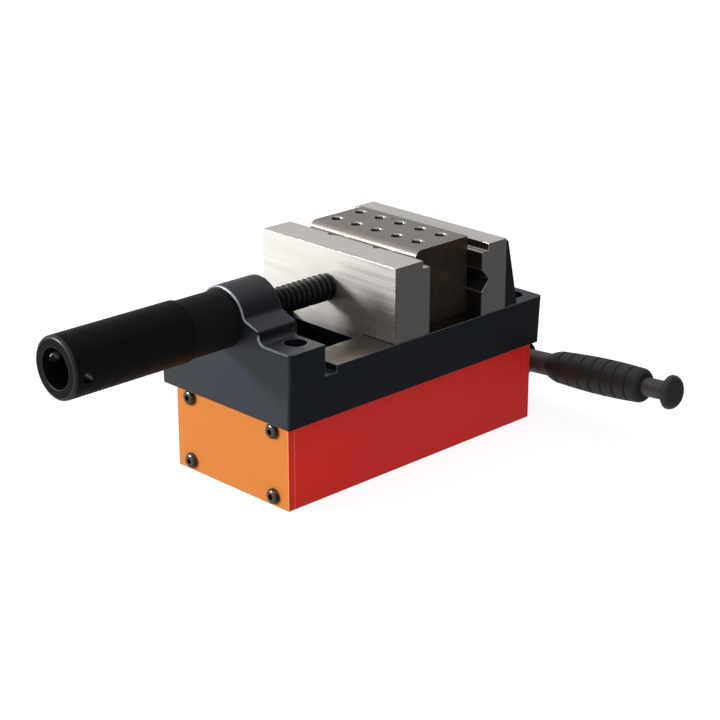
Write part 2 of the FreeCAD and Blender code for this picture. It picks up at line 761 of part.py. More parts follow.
def screw_drive():
    """The screw fixed in the moving jaw, and the hollow sleeve whose thread moves it."""
    spindle = new_body("clamp_screw")
    outline = sketch(spindle, "clamp_screw_outline", "XZ_Plane")
    radius = z.spindle_diameter / 2
    tenon = z.spindle_tenon_diameter / 2
    tip = jaw_front + z.spindle_tenon_length
    polygon(outline, [(spindle_front, ZERO), (spindle_front, radius), (jaw_front, radius),
                      (jaw_front, tenon), (tip, tenon), (tip, ZERO)])
    revolve(spindle, outline)
    pin_hole = sketch(spindle, "clamp_screw_pin_hole", "XY_Plane", -tenon - 1.0)
    circle(pin_hole, jaw_front + z.spindle_pin_inset, ZERO, z.spindle_pin_diameter / 2 + z.fit_gap)
    pocket(spindle, pin_hole, tenon * 1.5 + 1.0, True)
    move_body(spindle, up=axis_z)

    pin = new_body("screw_lock_pin")
    outline = sketch(pin, "screw_lock_pin_outline", "XY_Plane", tongue_z + z.fit_gap)
    circle(outline, jaw_front + z.spindle_pin_inset, ZERO, z.spindle_pin_diameter / 2)
    pad(pin, outline, axis_z + tenon / 2 - tongue_z - z.fit_gap * 2)

    outer = z.sleeve_diameter / 2
    collar = z.collar_diameter / 2
    collar_front = collar_rear - z.collar_length
    journal = z.journal_diameter / 2
    inner = z.sleeve_bore_diameter / 2
    spigot = z.sleeve_spigot_diameter / 2
    spigot_front = collar_front - z.sleeve_spigot_length
    tube = new_body("handle_tube")
    outline = sketch(tube, "handle_tube_outline", "XZ_Plane")
    socket = spigot + z.fit_gap
    polygon(outline, [(sleeve_front, inner), (sleeve_front, outer), (collar_front, outer),
                      (collar_front, socket), (spigot_front, socket), (spigot_front, inner)])
    revolve(tube, outline)
    cross = sketch(tube, "tommy_bar_hole", "XZ_Plane", -outer - 1.0)
    circle(cross, sleeve_front + z.cross_hole_inset, ZERO, z.cross_hole_diameter / 2)
    pocket(tube, cross, outer * 2 + 2.0, True)

    nut = new_body("screw_nut")
    outline = sketch(nut, "screw_nut_outline", "XZ_Plane")
    thread = radius + z.running_gap
    polygon(outline, [(spigot_front, inner), (spigot_front, spigot), (collar_front, spigot),
                      (collar_front, collar), (collar_rear, collar), (collar_rear, journal),
                      (journal_rear, journal), (journal_rear, thread), (nut_front, thread),
                      (nut_front, inner)])
    revolve(nut, outline)
    for body in (tube, nut):
        move_body(body, up=axis_z, turn=z.sleeve_rest_turn)

    ring = new_body("thrust_ring")
    start = boss_rear - z.thrust_ring_pocket_depth + z.collar_gap
    outline = sketch(ring, "thrust_ring_outline", "YZ_Plane", start)
    circle(outline, ZERO, axis_z, z.thrust_ring_diameter / 2)
    circle(outline, ZERO, axis_z, journal + z.fit_gap)
    pad(ring, outline, z.thrust_ring_thickness)
    return [spindle, pin, tube, nut, ring]


def drilled_block():
    """The block with two rows of holes that stands on the rails between the jaws."""
    body = new_body("drilled_block")
    outline = sketch(body, "drilled_block_outline", "XY_Plane", rail_z)
    half = z.block_width / 2
    rectangle(outline, block_front, z.fixed_jaw_x, -half, half)
    pad(body, outline, z.block_height)
    top = rail_z + z.block_height
    fillet(body, lambda box: near(box.XMin, block_front) and near(box.XMax, block_front)
           and near(box.ZMin, top) and near(box.ZMax, top), z.block_edge_radius, "block_front_edge")
    holes = sketch(body, "block_holes", "XY_Plane", top)
    first_x = block_front + z.block_hole_front
    first_y = -half + z.block_hole_side
    for x in (first_x, first_x + z.block_hole_pitch_x):
        circle(holes, x, first_y, z.block_hole_diameter / 2)
    drilled = pocket(body, holes)
    row = body.newObject("PartDesign::LinearPattern", "block_hole_row")
    row.Originals = [drilled]
    row.Direction = (holes, ["V_Axis"])
    row.Length = number(z.block_hole_pitch_y) * 4
    row.setExpression("Length", formula(z.block_hole_pitch_y * (z.block_hole_columns - 1)))
    row.setExpression("Occurrences", formula(z.block_hole_columns))
    body.Tip = row
    doc.recompute()
    return body


def build():
    kept = magnet_base() + bushes() + rotor() + lever()
    kept += [vice_body()] + jaws() + screw_drive() + [drilled_block()]
    doc.recompute()
    for item in doc.Objects:
        if "Invalid" in item.State or "Error" in item.State:
            raise ValueError(item.Name + " failed")
    os.makedirs("parts", exist_ok=True)
    for item in kept:
        shape = item.Shape
        if shape.isNull() or not shape.isValid():
            raise ValueError(item.Label + " has no valid shape")
        shape.exportStep(os.path.join("parts", item.Label + ".step"))
    print("wrote", len(kept), "sub-parts")
    return kept


build()
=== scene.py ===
import bmesh
import bpy
import math
from mathutils import Matrix, Vector


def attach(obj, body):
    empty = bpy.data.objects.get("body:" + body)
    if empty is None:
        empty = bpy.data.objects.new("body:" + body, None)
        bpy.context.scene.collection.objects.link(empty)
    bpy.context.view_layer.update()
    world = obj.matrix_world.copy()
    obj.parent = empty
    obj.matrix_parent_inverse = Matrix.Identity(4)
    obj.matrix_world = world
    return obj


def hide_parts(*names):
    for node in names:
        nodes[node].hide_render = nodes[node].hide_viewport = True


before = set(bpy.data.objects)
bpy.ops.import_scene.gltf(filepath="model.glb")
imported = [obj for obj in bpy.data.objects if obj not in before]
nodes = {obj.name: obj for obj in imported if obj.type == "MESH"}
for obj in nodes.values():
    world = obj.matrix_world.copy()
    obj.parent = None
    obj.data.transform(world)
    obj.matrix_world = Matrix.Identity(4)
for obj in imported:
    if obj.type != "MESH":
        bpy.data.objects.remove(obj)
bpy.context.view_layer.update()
scene = bpy.context.scene


# Colours and node helpers

def colour(text):
    parts = []
    for start in (0, 2, 4):
        part = int(text[start:start + 2], 16) / 255
        parts.append(part / 12.92 if part <= 0.04045 else ((part + 0.055) / 1.055) ** 2.4)
    return (parts[0], parts[1], parts[2], 1.0)


def addNode(tree, kind, inputs=None, **settings):
    node = tree.nodes.new(kind)
    for name, value in settings.items():
        setattr(node, name, value)
    for name, value in (inputs or {}).items():
        if isinstance(value, bpy.types.NodeSocket):
            tree.links.new(value, node.inputs[name])
        else:
            node.inputs[name].default_value = value
    return node


# Each finish: two tones that clouds mix, a third tone in the fine grain, and how rough and bumpy it is.
# cloudSize and grainSize are millimetres, depth is metres. stretch pulls the grain out into lines, for
# ground and turned metal. The last argument, if given, paints the shade of one small hole as a dark disc;
# the hole itself is not modelled. Real grinding and turning lines are about 0.1 mm apart, too fine to show,
# so the lines are drawn 1.4 to 2 mm apart.

def finish(name, main, cloud, speck, cloudSize=40.0, cloudAmount=0.5, grainSize=1.11, grainAmount=0.3,
           stretch=(1.0, 1.0, 1.0), roughness=(0.3, 0.45), metallic=0.0, bump=0.3, depth=0.00005,
           specular=0.5, tint="ffffff", holeShade=None):
    material = bpy.data.materials.new(name)
    material.use_nodes = True
    tree = material.node_tree
    tree.nodes.clear()
    place = addNode(tree, "ShaderNodeTexCoord")
    clouds = addNode(tree, "ShaderNodeTexNoise", {"Vector": place.outputs["Object"],
                                                  "Scale": 1000 / cloudSize, "Detail": 5.0,
                                                  "Roughness": 0.6})
    cloudMask = addNode(tree, "ShaderNodeMapRange", {"Value": clouds.outputs["Fac"], "From Min": 0.35,
                                                     "From Max": 0.65, "To Max": cloudAmount})
    pulled = addNode(tree, "ShaderNodeMapping", {"Vector": place.outputs["Object"], "Scale": stretch})
    grain = addNode(tree, "ShaderNodeTexNoise", {"Vector": pulled.outputs["Vector"],
                                                 "Scale": 1000 / grainSize, "Detail": 3.0,
                                                 "Roughness": 0.55})
    grainMask = addNode(tree, "ShaderNodeMapRange", {"Value": grain.outputs["Fac"], "From Min": 0.4,
                                                     "From Max": 0.75, "To Max": grainAmount})
    tones = addNode(tree, "ShaderNodeMix", {"Factor": cloudMask.outputs["Result"], 6: colour(main),
                                            7: colour(cloud)}, data_type="RGBA")
    mixed = addNode(tree, "ShaderNodeMix", {"Factor": grainMask.outputs["Result"], 6: tones.outputs[2],
                                            7: colour(speck)}, data_type="RGBA")
    sheen = addNode(tree, "ShaderNodeMapRange", {"Value": grain.outputs["Fac"], "From Min": 0.3,
                                                 "From Max": 0.7, "To Min": roughness[0],
                                                 "To Max": roughness[1]})
    bumps = addNode(tree, "ShaderNodeBump", {"Height": grain.outputs["Fac"], "Strength": bump,
                                             "Distance": depth})
    # A near-black disc: painted shade standing in for a small hole.
    if holeShade:
        away = addNode(tree, "ShaderNodeVectorMath", {0: place.outputs["Object"], 1: holeShade["place"]},
                       operation="DISTANCE")
        inside = addNode(tree, "ShaderNodeMapRange", {"Value": away.outputs["Value"],
                                                      "From Min": holeShade["radius"] * 0.75,
                                                      "From Max": holeShade["radius"], "To Min": 1.0,
                                                      "To Max": 0.0})
        mixed = addNode(tree, "ShaderNodeMix", {"Factor": inside.outputs["Result"], 6: mixed.outputs[2],
                                                7: colour("020202")}, data_type="RGBA")
    shader = addNode(tree, "ShaderNodeBsdfPrincipled", {
        "Base Color": mixed.outputs[2], "Metallic": metallic, "Roughness": sheen.outputs["Result"],
        "Specular IOR Level": specular, "Specular Tint": colour(tint),
        "Normal": bumps.outputs["Normal"]})
    output = addNode(tree, "ShaderNodeOutputMaterial")
    tree.links.new(shader.outputs["BSDF"], output.inputs["Surface"])
    return material


# Cast iron brushed with dark blue grey machine enamel: a soft gloss over the pebbled skin of the sand
# mould. Its broken edges are painted paler and the front rim a pale metallic line: painted highlights.
castPaint = finish("paintedCastIron", "0b0f15", "080b10", "12181f", cloudSize=55.6, cloudAmount=0.5,
                   grainSize=1.92, grainAmount=0.3, roughness=(0.36, 0.48), bump=0.2, depth=0.0002,
                   specular=0.8, tint="e6edff")
castEdgeHighlight = finish("castEdgePaintedHighlight", "3a4047", "2c3137", "4b5259", cloudSize=16.7, cloudAmount=0.6,
                  grainSize=1.25, grainAmount=0.4, roughness=(0.3, 0.4), bump=0.15, depth=0.0001,
                  specular=0.8)
castRimHighlight = finish("castRimPaintedHighlight", "a4a8ad", "84898f", "c2c6ca", cloudSize=11.1, cloudAmount=0.7,
                 grainSize=1.11, grainAmount=0.4, roughness=(0.3, 0.4), metallic=0.6, bump=0.15,
                 depth=0.0001)
# Red powder coat, sprayed and baked: an even satin red with a faint orange peel.
redPaint = finish("redPowderCoat", "bf1d18", "b51a16", "c92a22", cloudSize=111, cloudAmount=0.4,
                  grainSize=0.667, grainAmount=0.12, roughness=(0.38, 0.46), bump=0.12, depth=0.00005,
                  specular=0.22)
# Its edges are painted a lighter red: a painted highlight.
redEdgeHighlight = finish("redEdgePaintedHighlight", "c62a20", "bb221a", "d23b2a", cloudSize=16.7, cloudAmount=0.6,
                 grainSize=0.833, grainAmount=0.3, roughness=(0.3, 0.4), bump=0.1, depth=0.00004)
# Orange powder coat of the front end plate, the same satin, with a paler line along its edges: a painted
# highlight.
orangePaint = finish("orangePowderCoat", "c9731f", "bf6b1b", "cf7d30", cloudSize=83.3, cloudAmount=0.4,
                     grainSize=0.667, grainAmount=0.14, roughness=(0.38, 0.48), bump=0.12, depth=0.00005,
                     specular=0.4)
orangeEdgeHighlight = finish("orangeEdgePaintedHighlight", "f6a052", "ee9040", "fab877", cloudSize=16.7, cloudAmount=0.6,
                    grainSize=0.833, grainAmount=0.3, roughness=(0.3, 0.42), bump=0.1, depth=0.00004)
# Hardened steel of the jaws, surface ground: pale, and it blurs what it mirrors along the lines.
groundSteel = finish("groundSteel", "e9e4df", "ddd8d2", "f1eeea", cloudSize=90.9, cloudAmount=0.35,
                     grainSize=1.92, grainAmount=0.25, stretch=(1.0, 0.025, 1.0), roughness=(0.44, 0.54),
                     metallic=1.0, bump=0.03, depth=0.00001)
# The jaws' broken edges are painted paler and glossier: a painted highlight.
groundEdgeHighlight = finish("groundEdgePaintedHighlight", "efece8", "e2dfda", "f5f3f0", cloudSize=25, cloudAmount=0.3,
                    grainSize=1.11, grainAmount=0.15, roughness=(0.16, 0.26), metallic=1.0, bump=0.02,
                    depth=0.00001)
# Cast iron of the guide ways, ground and browned by old oil: darker and warmer than the jaws.
waySteel = finish("oiledGroundIron", "685f55", "575046", "786f64", cloudSize=45.5, cloudAmount=0.5,
                  grainSize=1.92, grainAmount=0.2, stretch=(0.025, 1.0, 1.0), roughness=(0.26, 0.36),
                  metallic=1.0, bump=0.04, depth=0.00001)
# Milled steel of the block: duller and greyer than the jaws, brown with oil on its sides.
# A dark disc on its top is painted shade for a small dimple that is not modelled.
blockSteel = finish("milledBlockSteel", "a59e97", "8f8880", "b8b2ab", cloudSize=33.3, cloudAmount=0.5,
                    grainSize=1.11, grainAmount=0.35, roughness=(0.42, 0.52), metallic=1.0, bump=0.08,
                    depth=0.00002, holeShade={"place": (0.0395, 0.0113, 0.127), "radius": 0.0008})
blockStain = finish("oilStainedSteel", "6a5b50", "4c4038", "857465", cloudSize=29.4, cloudAmount=0.8,
                    grainSize=2, grainAmount=0.3, roughness=(0.34, 0.46), metallic=0.9, bump=0.06,
                    depth=0.00002)
# Ground front of the fixed jaw, painted nearly black where the block and moving jaw stand before it:
# painted shade and a painted dark reflection.
jawPaintedShade = finish("jawFacePaintedShade", "3b3734", "2b2826", "4d4845", cloudSize=33.3, cloudAmount=0.6,
                  grainSize=1.67, grainAmount=0.3, roughness=(0.36, 0.48), metallic=0.9, bump=0.05,
                  depth=0.00002)
# The block's broken edges and the rims of its holes are painted paler: a painted highlight.
blockEdgeHighlight = finish("blockEdgePaintedHighlight", "d2cec8", "c0bcb5", "e2dfda", cloudSize=33.3, cloudAmount=0.4,
                   grainSize=1.11, grainAmount=0.2, roughness=(0.24, 0.34), metallic=1.0, bump=0.04,
                   depth=0.00002)
# Turned steel blackened in an oxide bath: a deep dull black that hardly shines.
blackOxide = finish("blackOxideSteel", "0e0f0f", "0a0b0b", "161616", cloudSize=50, cloudAmount=0.5,
                    grainSize=1.43, grainAmount=0.2, stretch=(1.0, 0.06, 0.06), roughness=(0.42, 0.54),
                    bump=0.05, depth=0.00002, specular=0.07)
# The same black, with painted shade for the oil hole in the top of the sleeve's collar: a dark disc, as the
# hole is not modelled.
collarOxide = finish("blackOxideCollar", "121313", "0e0f0f", "1a1a1a", cloudSize=50, cloudAmount=0.5,
                     grainSize=1.43, grainAmount=0.2, stretch=(1.0, 0.06, 0.06), roughness=(0.42, 0.54),
                     bump=0.05, depth=0.00002, specular=0.1,
                     holeShade={"place": (-0.1137, -0.0058, 0.1179), "radius": 0.0013})
# The broken edges of the black pieces are painted paler: a painted highlight.
blackEdgeHighlight = finish("blackEdgePaintedHighlight", "242322", "1b1a19", "353331", cloudSize=20, cloudAmount=0.5,
                   grainSize=1.11, grainAmount=0.3, roughness=(0.28, 0.38), metallic=0.3, bump=0.04,
                   depth=0.00002)
# Turned thread of the clamp screw: black, with a film of oil that makes its crests shine.
threadOxide = finish("oiledBlackThread", "131212", "0c0c0c", "1e1c1b", cloudSize=25, cloudAmount=0.5,
                     grainSize=1.43, grainAmount=0.2, roughness=(0.26, 0.36), bump=0.05, depth=0.00002,
                     specular=0.5)
# Button screws of heat treated steel, polished by handling: dark, with small bright glints.
screwSteel = finish("darkScrewSteel", "6a635d", "4a4540", "857d76", cloudSize=16.7, cloudAmount=0.5,
                    grainSize=1.11, grainAmount=0.3, roughness=(0.2, 0.3), metallic=1.0, bump=0.04,
                    depth=0.00002)
# Turned steel of the lever's rod, worn grey by hands, and its darker polished head.
leverSteel = finish("wornLeverSteel", "4b4a49", "333231", "6a6967", cloudSize=20, cloudAmount=0.7,
                    grainSize=1.43, grainAmount=0.4, stretch=(1.0, 0.06, 1.0), roughness=(0.4, 0.52),
                    metallic=0.4, bump=0.08, depth=0.00002, specular=0.6)
headSteel = finish("darkHeadSteel", "3a3a3d", "29292b", "4b4b4f", cloudSize=16.7, cloudAmount=0.6,
                   grainSize=1.25, grainAmount=0.3, roughness=(0.3, 0.42), metallic=0.5, bump=0.06,
                   depth=0.00003, specular=0.7)
# Moulded rubber of the grip: matt black with a broad grey sheen.
gripRubber = finish("mattRubber", "161616", "1b1b1b", "202020", cloudSize=28.6, cloudAmount=0.5,
                    grainSize=0.625, grainAmount=0.3, roughness=(0.5, 0.62), bump=0.25, depth=0.00006,
                    specular=0.6)
# Plain turned steel of shafts and pins: mid grey and bright.
plainSteel = finish("plainSteel", "9c9b98", "86847f", "b2b0ac", cloudSize=33.3, cloudAmount=0.5,
                    grainSize=1.11, grainAmount=0.3, roughness=(0.26, 0.4), metallic=1.0, bump=0.1,
                    depth=0.00003)
# Sintered magnets: dark grey, dull and grainy.
magnetGrey = finish("sinteredMagnet", "2e2e30", "242426", "3a3a3d", cloudSize=25, cloudAmount=0.5,
                    grainSize=0.714, grainAmount=0.4, roughness=(0.45, 0.6), metallic=0.3, bump=0.2,
                    depth=0.00006)
# Machined brass of the pole spacer, bushes and thrust ring: a dull yellow.
brass = finish("dullBrass", "b5924a", "9a7a3c", "c9a860", cloudSize=28.6, cloudAmount=0.6, grainSize=1.11,
               grainAmount=0.3, roughness=(0.28, 0.42), metallic=1.0, bump=0.1, depth=0.00003)
print("materials", len(bpy.data.materials))


# Mesh helpers

def newPiece(name, mesh, body, material):
    piece = bpy.data.objects.new(name, mesh)
    scene.collection.objects.link(piece)
    if material:
        mesh.materials.clear()
        mesh.materials.append(material)
    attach(piece, body)
    return piece


def smoothByAngle(mesh, degrees):
    work = bmesh.new()
    work.from_mesh(mesh)
    for face in work.faces:
        face.smooth = True
    for edge in work.edges:
        edge.smooth = len(edge.link_faces) == 2 and edge.calc_face_angle(0.0) < math.radians(degrees)
    work.to_mesh(mesh)
    work.free()


def baked(piece):
    graph = bpy.context.evaluated_depsgraph_get()
    mesh = bpy.data.meshes.new_from_object(piece.evaluated_get(graph))
    piece.modifiers.clear()
    piece.data = mesh
    return mesh


# Copies of machined and cast nodes whose sharp edges are broken, as on the real pieces. The broken edges
# take the edge finish, on most pieces a lighter one: a painted highlight. cuts are planes (axis, place)
# that split faces, so that part of a face can have its own finish and a face with holes falls into simple
# ones.
# widths gives the edges that are broken more than the rest, and rims the broken edges with a painted
# highlight of their own.

# Edges shorter than this stay sharp, so that no bevel folds over at a small rounding.
shortestEdge = 0.00045


def edged(node, body, main, edge, width=0.0003, regions=(), cuts=(), widths=(), rims=(),
          angle=32):
    mesh = nodes[node].data.copy()
    work = bmesh.new()
    work.from_mesh(mesh)
    bmesh.ops.remove_doubles(work, verts=work.verts, dist=0.000002)
    bmesh.ops.dissolve_limit(work, angle_limit=math.radians(0.5), verts=work.verts, edges=work.edges,
                             delimit={"NORMAL"})
    for axis, at in cuts:
        normal = Vector([1.0 if axis == index else 0.0 for index in range(3)])
        bmesh.ops.bisect_plane(work, geom=work.verts[:] + work.edges[:] + work.faces[:],
                               plane_co=normal * at, plane_no=normal)
    spare = [line for line in work.edges
             if len(line.link_faces) == 2 and line.calc_face_angle(1.0) < math.radians(0.5)
             and not any(all(abs(vert.co[axis] - at) < 0.00001 for vert in line.verts)
                         for axis, at in cuts)]
    if cuts:
        bmesh.ops.dissolve_edges(work, edges=spare, use_verts=False)
    widest = max([width] + [item[0] for item in widths])
    weight = work.edges.layers.float.new("bevel_weight_edge")
    for line in work.edges:
        if (len(line.link_faces) == 2 and line.calc_face_angle(0.0) > math.radians(angle)
                and line.calc_length() > shortestEdge):
            middle = (line.verts[0].co + line.verts[1].co) / 2
            along = (line.verts[1].co - line.verts[0].co).normalized()
            chosen = [item[0] for item in widths if item[1](middle, along)]
            line[weight] = (chosen[0] if chosen else width) / widest
    work.to_mesh(mesh)
    work.free()
    piece = newPiece(node + ".edged", mesh, body, main)
    mesh.materials.append(edge)
    for material, test in regions:
        mesh.materials.append(material)
    for face in mesh.polygons:
        face.material_index = 0
        for index, (material, test) in enumerate(regions):
            if test(face.center, face.normal):
                face.material_index = index + 2
    bevel = piece.modifiers.new("edge", "BEVEL")
    bevel.width = widest
    bevel.segments = 3 if widths else 2
    bevel.limit_method = "WEIGHT"
    # The bevel faces take the edge finish, a painted highlight on most pieces.
    bevel.material = 1
    bevel.use_clamp_overlap = False
    mesh = baked(piece)
    mesh.attributes.remove(mesh.attributes["bevel_weight_edge"])
    for material, test in rims:
        mesh.materials.append(material)
        for face in mesh.polygons:
            if face.material_index == 1 and test(face.center, face.normal):
                face.material_index = len(mesh.materials) - 1
    smoothByAngle(mesh, 34)
    flatter = piece.modifiers.new("normals", "WEIGHTED_NORMAL")
    flatter.mode = "FACE_AREA"
    flatter.weight = 100
    flatter.keep_sharp = True
    mesh = baked(piece)
    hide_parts(node)
    return piece


casting = {"front": -0.105, "lug": 0.0948, "rails": 0.0808, "jawRear": 0.0665, "waysStart": -0.0705,
           "slotSide": 0.0302, "slotFloor": 0.0706, "slotFront": -0.0752, "slotRear": 0.0437,
           "headEdge": 0.0009, "outlineSide": 0.0525, "wellX": 0.0885, "wellY": 0.0415,
           "wellReach": 0.0068}
block = {"columns": (0.0168, 0.0363), "rows": (-0.0305, -0.014, 0.0025, 0.019, 0.0355), "top": 0.127,
         "rimReach": 0.0045, "rimEdge": 0.0009}
hub = {"end": 0.1353, "endEdge": 0.002}
tube = {"mouth": -0.2165, "height": 0.1025, "rimRadius": 0.016, "mouthEdge": 0.0018}


def onWays(centre, normal):
    return (abs(centre.z - casting["rails"]) < 0.00005 and normal.z > 0.9
            and casting["waysStart"] < centre.x < casting["jawRear"])


def inSlot(centre, normal):
    return (abs(centre.y) < casting["slotSide"] and casting["slotFloor"] < centre.z < casting["rails"]
            and casting["slotFront"] < centre.x < casting["slotRear"])


def headOutline(middle, along):
    return (abs(middle.x - casting["front"]) < 0.0001 and middle.z > casting["lug"] - 0.0002
            and abs(middle.y) < casting["outlineSide"] and abs(along.x) < 0.5)


def wellRims(middle, along):
    away = math.hypot(abs(middle.x) - casting["wellX"], abs(middle.y) - casting["wellY"])
    return away < casting["wellReach"] and middle.z > casting["rails"] - 0.0002


def topFace(centre, normal):
    return normal.z > 0.9


def underside(centre, normal):
    return normal.z < -0.9


def bothSides(centre, normal):
    return abs(normal.y) > 0.9


def facesBlock(centre, normal):
    return normal.x < -0.3


def blockRims(middle, along):
    away = min(math.hypot(middle.x - x, middle.y - y) for x in block["columns"] for y in block["rows"])
    return abs(middle.z - block["top"]) < 0.0001 and away < block["rimReach"]


def frontRim(centre, normal):
    return centre.x < casting["front"] + 0.0012 and centre.z > casting["lug"] - 0.0012


def hubEnd(middle, along):
    return middle.x > hub["end"]


def tubeMouth(middle, along):
    out = math.hypot(middle.y, middle.z - tube["height"])
    return middle.x < tube["mouth"] and out > tube["rimRadius"]


# The casting's broken edges and front rim take painted highlights.
edged("vice_body", "base", castPaint, castEdgeHighlight, width=0.0004,
      regions=((waySteel, onWays), (waySteel, inSlot)),
      cuts=((0, casting["jawRear"]), (0, -casting["wellX"]), (0, casting["wellX"]), (1, 0.0)),
      widths=((casting["headEdge"], headOutline), (0.0, wellRims)), rims=((castRimHighlight, frontRim),))
edged("moving_jaw", "jaw", groundSteel, groundEdgeHighlight)
edged("fixed_jaw_plate", "base", groundSteel, groundEdgeHighlight,
      # The faces towards the block take painted shade.
      regions=((jawPaintedShade, facesBlock),))
edged("drilled_block", "block", blockSteel, blockEdgeHighlight, width=0.0003,
      regions=((blockStain, bothSides),), cuts=[(0, x) for x in block["columns"]],
      widths=((block["rimEdge"], blockRims),))
edged("keeper_plate", "jaw", blackOxide, blackEdgeHighlight)
edged("front_end_plate", "base", orangePaint, orangeEdgeHighlight, width=0.0003,
      regions=((redPaint, bothSides),))
edged("rear_end_plate", "base", redPaint, redEdgeHighlight, width=0.0005)
for side in ("left_pole_block", "right_pole_block"):
    edged(side, "base", redPaint, redEdgeHighlight, width=0.0004,
          regions=((groundSteel, underside), (waySteel, topFace)))
edged("handle_tube", "sleeve", blackOxide, blackEdgeHighlight, width=0.0004,
      widths=((tube["mouthEdge"], tubeMouth),))
edged("screw_nut", "sleeve", collarOxide, blackEdgeHighlight, width=0.0003)
edged("lever_hub", "switch", blackOxide, blackEdgeHighlight, width=0.0002,
      widths=((hub["endEdge"], hubEnd),))
edged("lever_rod", "switch", leverSteel, leverSteel)


# Turned pieces, drawn as a profile of (distance along the axis, radius).

def lathe(name, profile, steps=64):
    work = bmesh.new()
    rings = []
    for along, radius in profile:
        if radius < 1e-7:
            rings.append([work.verts.new((along, 0, 0))])
            continue
        ring = []
        for step in range(steps):
            turn = 2 * math.pi * step / steps
            ring.append(work.verts.new((along, radius * math.cos(turn), radius * math.sin(turn))))
        rings.append(ring)
    for first, second in zip(rings, rings[1:]):
        for step in range(steps):
            after = (step + 1) % steps
            if len(first) == 1:
                work.faces.new((first[0], second[after], second[step]))
            elif len(second) == 1:
                work.faces.new((first[step], first[after], second[0]))
            else:
                work.faces.new((first[step], first[after], second[after], second[step]))
    bmesh.ops.remove_doubles(work, verts=work.verts, dist=0.0000005)
    bmesh.ops.recalc_face_normals(work, faces=work.faces)
    if work.calc_volume(signed=True) < 0:
        bmesh.ops.reverse_faces(work, faces=work.faces)
    mesh = bpy.data.meshes.new(name)
    work.to_mesh(mesh)
    work.free()
    smoothByAngle(mesh, 40)
    return mesh


# Geometry node helpers

def nodeGroup(name, sockets):
    group = bpy.data.node_groups.new(name, "GeometryNodeTree")
    group.interface.new_socket("Geometry", in_out="INPUT", socket_type="NodeSocketGeometry")
    for socketName, kind in sockets:
        group.interface.new_socket(socketName, in_out="INPUT", socket_type=kind)
    group.interface.new_socket("Geometry", in_out="OUTPUT", socket_type="NodeSocketGeometry")
    return group, addNode(group, "NodeGroupInput"), addNode(group, "NodeGroupOutput")


def runGroup(piece, group, values):
    modifier = piece.modifiers.new("shape", "NODES")
    modifier.node_group = group
    for item in group.interface.items_tree:
        if item.item_type == "SOCKET" and item.in_out == "INPUT" and item.name in values:
            modifier[item.identifier] = values[item.name]
    piece.data.update()
    return baked(piece)


# The lever's own frame: its axis runs from the rotor's axis towards minus Y, tilted up.
lever = {"plane": 0.119, "height": 0.0255, "tilt": 4.6, "gripStart": 0.050, "gripLength": 0.072,
         "hole": 0.00579, "rodEnd": 0.139}
leverPlace = (Matrix.Translation((lever["plane"], 0, lever["height"]))
              @ Matrix.Rotation(math.radians(-lever["tilt"]), 4, "X")
              @ Matrix.Rotation(math.radians(-90), 4, "Z"))

grip = {"neck": 0.00775, "shoulder": 0.0100, "belly": 0.0112, "tail": 0.0102, "shoulderLength": 0.009,
        "grooves": 7, "grooveStart": 0.0100, "groovePitch": 0.0088, "grooveReach": 0.00096,
        "grooveDepth": 0.0009, "endRounding": 0.0045}


def gripRadius(along):
    length = lever["gripLength"]
    if along < grip["shoulderLength"]:
        part = along / grip["shoulderLength"]
        return grip["neck"] + (grip["shoulder"] - grip["neck"]) * math.sin(part * math.pi / 2)
    span = length - grip["shoulderLength"]
    part = (along - grip["shoulderLength"]) / span
    ends = grip["shoulder"] + (grip["tail"] - grip["shoulder"]) * part
    radius = ends + (grip["belly"] - (grip["shoulder"] + grip["tail"]) / 2) * math.sin(part * math.pi)
    left = length - along
    if left < grip["endRounding"]:
        lost = grip["endRounding"] - left
        radius -= grip["endRounding"] - math.sqrt(max(grip["endRounding"] ** 2 - lost ** 2, 0))
    return radius


def gripProfile():
    profile = [(0.0, lever["hole"]), (0.0, grip["neck"] - 0.0006), (0.0003, grip["neck"])]
    step = 0.0002
    count = int(round(lever["gripLength"] / step))
    for index in range(2, count + 1):
        profile.append((index * step, gripRadius(index * step)))
    profile += [(lever["gripLength"], lever["hole"]), (0.0, lever["hole"])]
    return [(along + lever["gripStart"], radius) for along, radius in profile]


